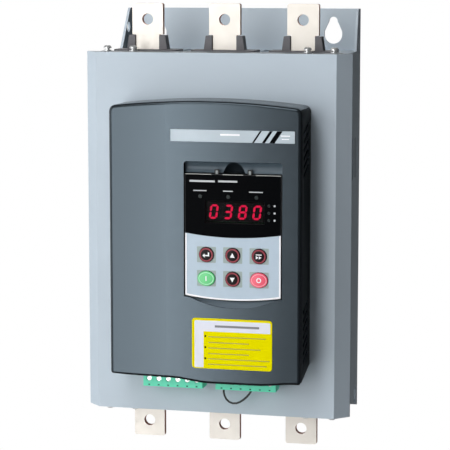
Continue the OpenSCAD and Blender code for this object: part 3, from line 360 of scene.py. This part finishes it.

# Painted shade and light on the housing: its right-hand wall takes a darker, less glossy copy of its
# charcoal as painted shade, the recesses round the keypad a lighter copy as painted light, and the
# finger notch above the keypad the darkest copy as painted shade
NOTCH_CENTRE, NOTCH_R, NOTCH_SLACK = Vector((22.8, -140, 41)), 9.3, 0.3
RECESS_X, RECESS_Z, RECESS_FRONT = (-15.8, 61.4), (-66, 51), -140.5
SHADED_SIDE, PAINTED_LIGHT_RECESS, SHADED_NOTCH = 1, 2, 3
shell = NODES["control_housing"].data
shell.materials.append(CHARCOAL_SIDE_SHADE)
shell.materials.append(CHARCOAL_RECESS_LIGHT)
shell.materials.append(CHARCOAL_NOTCH_SHADE)
for polygon in shell.polygons:
    x, y, z = (c / MM for c in polygon.center)
    reach = [(shell.vertices[i].co / MM - NOTCH_CENTRE).length for i in polygon.vertices]
    in_recess = RECESS_X[0] < x < RECESS_X[1] and RECESS_Z[0] < z < RECESS_Z[1]
    if max(abs(r - NOTCH_R) for r in reach) < NOTCH_SLACK:
        polygon.material_index = SHADED_NOTCH
    elif polygon.normal.x > 0.8:
        polygon.material_index = SHADED_SIDE
    elif in_recess and y > RECESS_FRONT:
        polygon.material_index = PAINTED_LIGHT_RECESS

# Painted shade: the chassis' side walls are darker inside, and so is the cover's top flange
WALL_X = 90
walls = NODES["chassis"].data
walls.materials.append(PAINT_INNER_SHADE)
for polygon in walls.polygons:
    if polygon.normal.x * polygon.center.x < -0.8 * WALL_X * MM:
        polygon.material_index = 1
cover = NODES["front_cover"].data
cover.materials.append(PAINT_FLANGE_SHADE)
for polygon in cover.polygons:
    if polygon.normal.z > 0.9:
        polygon.material_index = 1


def soften(name, width, segments=2, angle=32, flatten=True, rim=None):
    """Rounds a CAD node's sharp edges, with its vertices as they are. A rim is a test of
    a vertex and the width to which the edges between such vertices are rounded first."""
    obj = NODES[name]
    bpy.context.view_layer.objects.active = obj
    bpy.ops.mesh.customdata_custom_splitnormals_clear()
    obj.data.polygons.foreach_set("use_smooth", [p.normal.y > -0.99 for p in obj.data.polygons])
    weld = obj.modifiers.new("weld", "WELD")
    weld.merge_threshold = 2e-6
    if flatten:
        flat = obj.modifiers.new("flat", "DECIMATE")
        flat.decimate_type = "DISSOLVE"
        flat.angle_limit = math.radians(0.4)
    if rim:
        group = obj.vertex_groups.new(name="rim")
        group.add([v.index for v in obj.data.vertices if rim[0](v.co / MM)], 1, "REPLACE")
        lip = obj.modifiers.new("rim", "BEVEL")
        lip.limit_method = "VGROUP"
        lip.vertex_group = "rim"
        lip.width = rim[1] * MM
        lip.segments = 4
        lip.use_clamp_overlap = False
        # The rounded rim takes the housing's darker side copy, painted shade
        lip.material = SHADED_SIDE
        lip.harden_normals = True
    edge = obj.modifiers.new("edge", "BEVEL")
    edge.width = width * MM
    edge.segments = segments
    edge.limit_method = "ANGLE"
    edge.angle_limit = math.radians(angle)
    edge.harden_normals = True
    edge.miter_outer = "MITER_ARC"


# New pieces -----------------------------------------------------------------
def piece(name, mesh, mat, body):
    obj = bpy.data.objects.new(name, mesh)
    bpy.context.scene.collection.objects.link(obj)
    dress(obj, mat)
    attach(obj, body)
    return obj


def slab_mesh(name, shapes, front, depth):
    """Plates drawn in X and Z millimetres, each a list of loops with the outer one first.
    Their front lies at Y = front and they are depth thick."""
    verts, faces = [], []
    for loops in shapes:
        start = len(verts)
        flat = [Vector((x, z, 0)) for loop in loops for x, z in loop]
        n = len(flat)
        verts += [(p.x * MM, front * MM, p.y * MM) for p in flat]
        verts += [(p.x * MM, (front + depth) * MM, p.y * MM) for p in flat]
        rows = [[Vector((x, z, 0)) for x, z in loop] for loop in loops]
        for a, b, c in tessellate_polygon(rows):
            faces.append((start + a, start + b, start + c))
            faces.append((start + n + c, start + n + b, start + n + a))
        at = start
        for loop in loops:
            for i in range(len(loop)):
                j = (i + 1) % len(loop)
                faces.append((at + i, at + j, at + n + j, at + n + i))
            at += len(loop)
    mesh = bpy.data.meshes.new(name)
    mesh.from_pydata(verts, [], faces)
    work = bmesh.new()
    work.from_mesh(mesh)
    bmesh.ops.recalc_face_normals(work, faces=work.faces)
    work.to_mesh(mesh)
    work.free()
    return mesh


def slab(name, shapes, front, depth, mat, body):
    return piece(name, slab_mesh(name, shapes, front, depth), mat, body)


def rect(x0, x1, z0, z1):
    return [(x0, z0), (x1, z0), (x1, z1), (x0, z1)]


def arc(cx, cz, r, start, turn, n=6):
    """Points on a circle from the angle start, over a turn, both in degrees."""
    angles = [math.radians(start + turn * i / n) for i in range(n + 1)]
    return [(cx + r * math.cos(a), cz + r * math.sin(a)) for a in angles]


def rounded(x0, x1, z0, z1, r, n=6):
    return (
        arc(x1 - r, z1 - r, r, 0, 90, n)
        + arc(x0 + r, z1 - r, r, 90, 90, n)
        + arc(x0 + r, z0 + r, r, 180, 90, n)
        + arc(x1 - r, z0 + r, r, 270, 90, n)
    )


def ellipse(cx, cz, rx, rz, n=56):
    return [
        (cx + rx * math.cos(2 * math.pi * i / n), cz + rz * math.sin(2 * math.pi * i / n))
        for i in range(n)
    ]


# Jumper wire between two terminals, a fixed short loop
ROUTE = [
    (10, -125.5), (10, -127.5), (10, -129.5), (10.1, -132), (10.8, -134.8), (12.2, -137.4),
    (14.4, -139.4), (17.2, -140.4), (20.2, -140.2), (23.2, -139), (26, -137), (28.6, -134.6),
    (30.8, -132), (32.2, -129.6), (32.8, -127.5), (32.8, -125.5),
]
JUMPER_Y = -116.9
curve = bpy.data.curves.new("jumper", "CURVE")
curve.dimensions = "3D"
curve.resolution_u = 6
curve.bevel_depth = 0.8 * MM
curve.bevel_resolution = 5
curve.use_fill_caps = True
line = curve.splines.new("POLY")
line.points.add(len(ROUTE) - 1)
for point, (x, z) in zip(line.points, ROUTE):
    point.co = (x * MM, JUMPER_Y * MM, z * MM, 1)
jumper = bpy.data.objects.new("jumper", curve)
bpy.context.scene.collection.objects.link(jumper)
jumper.data.materials.append(RUBBER)
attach(jumper, "case")
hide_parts("jumper_wire")


# The housing's front, the facet at its left with its crease, width and depth, the foot's
# height and slope behind its front part, and the outer wall's reach
HOUSING_FRONT, CREASE_X, FACET_W, FACET_D = -141, -29.5, 46, 3.5
FOOT_Z, FOOT_Y, FOOT_SLOPE = -117.4, -138.5, 0.245
OUTER_X, OUTER_T = 73.2, 1.2


def on_housing_foot(p):
    """Whether a point is on the outer edge of the housing's open lower end."""
    front = HOUSING_FRONT + FACET_D * max(0, (CREASE_X - p.x) / FACET_W)
    lowest = FOOT_Z + FOOT_SLOPE * max(0, p.y - FOOT_Y)
    return p.z < lowest and (abs(p.x) > OUTER_X or p.y < front + OUTER_T)


# Softer edges on the sheet metal, the mouldings and the bars
soften("front_cover", 0.7, 3)
soften("chassis", 0.4, 2)
soften("top_panel", 0.3, 1)
soften("control_housing", 0.35, 2, 40, rim=(on_housing_foot, 2.0))
for side in ("left", "middle", "right"):
    soften("line_bar_" + side, 0.5, 2, flatten=False)
    soften("load_bar_" + side, 0.5, 2, flatten=False)
    soften("line_bushing_" + side, 0.4, 2)
    soften("load_bushing_" + side, 0.4, 2)
for name in ("badge_strip", "label_plate"):
    soften(name, 0.12, 1)
for side in ("left", "right"):
    soften("terminal_plug_" + side, 0.25, 2)
    soften("terminal_header_" + side, 0.25, 2)
for name in ("key_set", "key_up", "key_program", "key_run", "key_down", "key_stop"):
    soften(name, 0.4, 3)
soften("keypad_case", 0.3, 2)

# Keypad: printed film, border, tiles and marks
KEYPAD_X, HALF_W, SAG = 22.8, 37.1, 3.0
CASE_FRONT, OVERLAY_FRONT, KEY_FRONT = -140.2, -140.6, -142.0
OVERLAY_TOP, OVERLAY_BOTTOM = -7.2, -55.1
PRINT_T = 0.05


def bow(z, half, n=28):
    """The keypad's bowed line from left to right, its lowest point at height z."""
    r = (half * half + SAG * SAG) / (2 * SAG)
    xs = [-half + 2 * half * i / n for i in range(n + 1)]
    return [(KEYPAD_X + x, z + r - math.sqrt(r * r - x * x)) for x in xs]


def film(name, shapes, front, mat, body, sink=0.03):
    """Print: a thin slab on the surface at Y = front, sunk into it a little."""
    return slab(name, shapes, front - PRINT_T, PRINT_T + sink, mat, body)


def dome(name, x, z, rx, rz, front, rise, mat, body, rings=6, n=48):
    """A low cap over an ellipse, its rim on Y = front."""
    verts, faces = [], []
    for k in range(rings):
        t = math.cos(math.pi / 2 * k / rings)
        y = front - rise * math.sin(math.pi / 2 * k / rings)
        verts += [(px * MM, y * MM, pz * MM) for px, pz in ellipse(x, z, rx * t, rz * t, n)]
    verts.append((x * MM, (front - rise) * MM, z * MM))
    base = len(verts)
    verts += [(px * MM, (front + 0.05) * MM, pz * MM) for px, pz in ellipse(x, z, rx, rz, n)]
    for k in range(rings - 1):
        for i in range(n):
            j = (i + 1) % n
            faces.append((k * n + i, k * n + j, (k + 1) * n + j, (k + 1) * n + i))
    for i in range(n):
        j = (i + 1) % n
        faces.append(((rings - 1) * n + i, (rings - 1) * n + j, base - 1))
        faces.append((base + i, base + j, j, i))
    faces.append(tuple(base + i for i in range(n)))
    mesh = bpy.data.meshes.new(name)
    mesh.from_pydata(verts, [], faces)
    work = bmesh.new()
    work.from_mesh(mesh)
    bmesh.ops.recalc_face_normals(work, faces=work.faces)
    work.to_mesh(mesh)
    work.free()
    obj = piece(name, mesh, mat, body)
    obj.data.polygons.foreach_set("use_smooth", [len(p.vertices) < 5 for p in obj.data.polygons])
    return obj


left_x, right_x = KEYPAD_X - HALF_W, KEYPAD_X + HALF_W
LAMPS = [(-2.6, 24.0), (19.2, 24.0), (41.0, 24.0)]
SMALL_LAMPS = [(50.6, 18.0), (50.6, 12.5), (50.6, 7.0)]
holes = [rounded(1.2, 47.4, 3.7, 20.9, 0.5)]
holes += [ellipse(x, z, 1.6, 1.6, 24) for x, z in LAMPS]
holes += [ellipse(x, z, 1.2, 1.2, 24) for x, z in SMALL_LAMPS]
panel = bow(OVERLAY_TOP + 0.15, HALF_W) + [(right_x, 40.5), (left_x, 40.5)]
film("panel_film", [[panel] + holes], CASE_FRONT, PANEL_BLACK, "keypad")

edge = 1.25
top_z = OVERLAY_TOP + SAG - 0.25
border = [(left_x, top_z)] + bow(OVERLAY_BOTTOM, HALF_W)
border += [(right_x, top_z), (right_x - edge, top_z - 0.1)]
border += list(reversed(bow(OVERLAY_BOTTOM + edge, HALF_W - edge))) + [(left_x + edge, top_z - 0.1)]
film("overlay_border", [[border]], OVERLAY_FRONT, WHITE_PRINT, "keypad")

KEYS = {
    "set": (2.3, -20.5, 5.7), "up": (22.8, -20.5, 5.7), "program": (43.3, -20.5, 5.7),
    "run": (2.3, -38.7, 6.8), "down": (22.8, -38.7, 5.7), "stop": (43.3, -38.7, 6.8),
}
tiles = [
    [rounded(x - 7.4, x + 7.4, z - 6.1, z + 6.1, 0.6), ellipse(x, z, rx + 0.35, 6.05)]
    for x, z, rx in KEYS.values()
]
film("key_tiles", tiles, OVERLAY_FRONT, TILE_PRINT, "keypad")

MARKS = {
    "set": [[[(-2.7, -0.5), (-1.0, 1.1), (-1.0, 0.0), (1.5, 0.0), (1.5, 1.9), (2.5, 1.9),
              (2.5, -1.0), (-1.0, -1.0), (-1.0, -2.1)]]],
    "up": [[[(-1.9, -1.5), (1.9, -1.5), (0.0, 2.0)]]],
    "program": [[rect(-2.3, 2.3, 1.0, 1.7)], [[(-2.2, -2.1), (-0.1, -0.8), (-2.2, 0.5)]],
                [[(0.1, -2.1), (2.2, -0.8), (0.1, 0.5)]]],
    "run": [[rect(-0.45, 0.45, -1.8, 1.8)]],
    "down": [[[(-1.9, 1.4), (0.0, -2.1), (1.9, 1.4)]]],
    "stop": [[ellipse(0, 0, 1.9, 1.9, 32), ellipse(0, 0, 1.15, 1.15, 32)]],
}
RISE = 0.22
for key, (x, z, rx) in KEYS.items():
    oval = rx > 6
    body = key + "_button"
    mat, ring, slot = {
        "run": (KEY_GREEN, PALE_GREEN, "key_green"),
        "stop": (KEY_RED, PALE_RED, "key_red"),
    }.get(key, (KEY_BLACK, RING_PRINT, "key_black"))
    if oval:
        outer, inner = (rx - 1.0, 4.7), (rx - 1.45, 4.25)
    else:
        outer, inner = (5.35, 5.35), (4.15, 4.15)
    loops = [ellipse(x, z, *outer), ellipse(x, z, *inner)]
    film("ring_" + key, [loops], KEY_FRONT, ring, body)
    dome("cap_" + key, x, z, inner[0], inner[1], KEY_FRONT, RISE, mat, body)
    shapes = [[[(x + px, z + pz) for px, pz in loop] for loop in loops] for loops in MARKS[key]]
    slab("mark_" + key, shapes, KEY_FRONT - RISE - 0.05, RISE + 0.03, WHITE_PRINT, body)

# Panel print: bars where words stand, and small marks beside the unit lamps
words = [[rect(-11.0, 8.8, 34.8, 36.2)], [rect(11.4, 26.2, 35.0, 36.4)]]
words += [[rect(x0, x1, z - 0.35, z + 0.35)] for x0, x1, z in
          ((-8.0, 2.3, 28.3), (15.2, 22.8, 28.3), (35.3, 46.0, 28.1))]
words += [[ellipse(55.0, z, 0.8, 0.8, 20)] for x, z in SMALL_LAMPS]
film("panel_words", words, CASE_FRONT - PRINT_T, PALE_GREY, "keypad")

# Painted highlight along the keypad's upper rim, broken by its clips
rim_highlights = [[rect(x0, x1, 40.55, 41.0)] for x0, x1 in ((-14.0, 6.0), (15.0, 30.6), (40.4, 59.8))]
film("keypad_rim", rim_highlights, CASE_FRONT, RIM_HIGHLIGHT, "keypad")
CLIP_HALF_W, CLIP_T, CLIP_SETBACK = 0.85, 0.13, 1.1
for side, x in (("left", 10.0), ("right", 35.6)):
    clip = rect(x - CLIP_HALF_W, x + CLIP_HALF_W, 41.0, 43.7)
    front = CASE_FRONT + CLIP_SETBACK
    slab("clip_" + side, [[clip]], front, CLIP_T, CLIP_GREY, "keypad")

# Badge: slanted stripes and light lines
BADGE_FRONT = -141.8
LOW, HIGH, SLANT = 65.5, 74.5, 6
stripes = [
    [[(x, LOW), (x + w, LOW), (x + w + SLANT, HIGH), (x + SLANT, HIGH)]]
    for x, w in ((37.9, 1.5), (45.4, 2.4), (51.1, 4.1))
]
film("badge_stripes", stripes, BADGE_FRONT, BLACK_PRINT, "case")
lines = [[rounded(13.3, 28.4, 70.4, 71.8, 0.4)]]
lines += [[rect(59.8, 66.9, 70.7, 71.4)], [rect(60.5, 66.2, 68.3, 68.8)]]
film("badge_lines", lines, BADGE_FRONT, WHITE_PRINT, "case")

# Plugs: painted shade in place of the slots under their screws
PLUG_FRONT, PLUG_PITCH, PLUG_WAYS = -123.9, 7.62, 6
SLOT_Z, SLOT_HALF_W, SLOT_H = -127.6, 0.7, 0.9
for side, x in (("left", -29.0), ("right", 29.0)):
    ways = [x + (i - (PLUG_WAYS - 1) / 2) * PLUG_PITCH for i in range(PLUG_WAYS)]
    slot_shades = [[rect(w - SLOT_HALF_W, w + SLOT_HALF_W, SLOT_Z, SLOT_Z + SLOT_H)] for w in ways]
    film("plug_slots_" + side, slot_shades, PLUG_FRONT, PAINTED_SLOT_SHADE, "case")

# Label: white fields and bars in place of print
LABEL_FRONT = -141.3
FIELD_R = 1.2
field = arc(-5.8, -72.4, FIELD_R, 180, -90) + arc(51.0, -72.4, FIELD_R, 90, -90)
field += [(52.2, -79.6), (0.1, -79.6), (0.1, -107.7)] + arc(-5.8, -106.5, FIELD_R, -90, -90)
film("label_field", [[field]], LABEL_FRONT, SOFT_WHITE, "case")
heading = rect(9.0, 43.6, -76.3, -74.6)
film("label_heading", [[heading]], LABEL_FRONT - PRINT_T, GREY_PRINT, "case")
ROWS = [(48.7, -83.7), (35.7, -88.1), (44.6, -92.4), (35.7, -96.7), (51.7, -100.8), (49.5, -105.0)]
rows = [[rect(3.7, x1, z - 0.45, z + 0.45)] for x1, z in ROWS]
film("label_rows", rows, LABEL_FRONT, OLIVE_PRINT, "case")
dots = [[ellipse(1.5, z, 0.8, 0.8, 20)] for z in (-83.3, -91.9, -100.5)]
film("label_dots", dots, LABEL_FRONT, BLACK_PRINT, "case")


# Studio ---------------------------------------------------------------------
def backdrop():
    mesh = bpy.data.meshes.new("floor")
    size, level = 12, -0.75
    mesh.from_pydata(
        [(-size, -size, level), (size, -size, level), (size, size, level), (-size, size, level)],
        [], [(0, 1, 2, 3)],
    )
    floor = bpy.data.objects.new("floor", mesh)
    bpy.context.scene.collection.objects.link(floor)
    g = Graph("floor_white")
    path = g.add("ShaderNodeLightPath")
    plain = g.add("ShaderNodeBsdfDiffuse")
    plain.inputs["Color"].default_value = (0.8, 0.8, 0.8, 1)
    white = g.add("ShaderNodeEmission")
    white.inputs["Strength"].default_value = 1.0
    mix = g.add("ShaderNodeMixShader")
    seen = g.math("MAXIMUM", path.outputs["Is Camera Ray"], path.outputs["Is Transmission Ray"])
    g.put(mix.inputs[0], seen)
    g.tree.links.new(plain.outputs[0], mix.inputs[1])
    g.tree.links.new(white.outputs[0], mix.inputs[2])
    g.tree.links.new(mix.outputs[0], g.out.inputs[0])
    dress(floor, g.mat)


backdrop()

world = bpy.data.worlds.new("studio")
bpy.context.scene.world = world
world.use_nodes = True
tree = world.node_tree
tree.nodes.clear()
out = tree.nodes.new("ShaderNodeOutputWorld")
path = tree.nodes.new("ShaderNodeLightPath")
seen = tree.nodes.new("ShaderNodeBackground")
seen.inputs["Color"].default_value = (1, 1, 1, 1)
seen.inputs["Strength"].default_value = 1.0
room = tree.nodes.new("ShaderNodeBackground")
room.inputs["Color"].default_value = (0.95, 0.98, 1, 1)
room.inputs["Strength"].default_value = 0.02
blend = tree.nodes.new("ShaderNodeMixShader")
tree.links.new(path.outputs["Is Camera Ray"], blend.inputs[0])
tree.links.new(room.outputs[0], blend.inputs[1])
tree.links.new(seen.outputs[0], blend.inputs[2])
tree.links.new(blend.outputs[0], out.inputs[0])


def softbox(name, place, target, size, power, mirrored=True, spread=True):
    data = bpy.data.lights.new(name, "AREA")
    data.shape = "RECTANGLE"
    data.size, data.size_y = size
    data.energy = power
    obj = bpy.data.objects.new(name, data)
    bpy.context.scene.collection.objects.link(obj)
    obj.location = place
    obj.rotation_euler = (Vector(target) - Vector(place)).to_track_quat("-Z", "Y").to_euler()
    obj.visible_camera = False
    obj.visible_glossy = mirrored
    obj.visible_diffuse = spread


softbox("strip", (-0.38, -1.25, 0.1), (0, -0.1, 0), (0.24, 1.5), 7.2, spread=False)
softbox("front", (-0.27, -1.38, 0.45), (0, -0.1, 0), (0.36, 1.4), 7.6, mirrored=False)
softbox("key", (-0.71, -1.19, 0), (0, -0.1, 0), (0.5, 1.5), 7.2)
softbox("left", (-1.3, -0.1, 0.2), (0, -0.1, 0), (1.2, 1.3), 6.0)
softbox("right", (1.3, 0.2, -0.5), (0, -0.1, 0), (1.0, 0.9), 1.1, mirrored=False)
softbox("top", (-0.2, -0.9, 1.3), (0, -0.05, 0.1), (1.0, 0.5), 7.0)
softbox("back", (-0.4, 1.5, 0.9), (0, 0, 0), (1.2, 1.0), 8)

bpy.context.scene.view_settings.view_transform = "Standard"
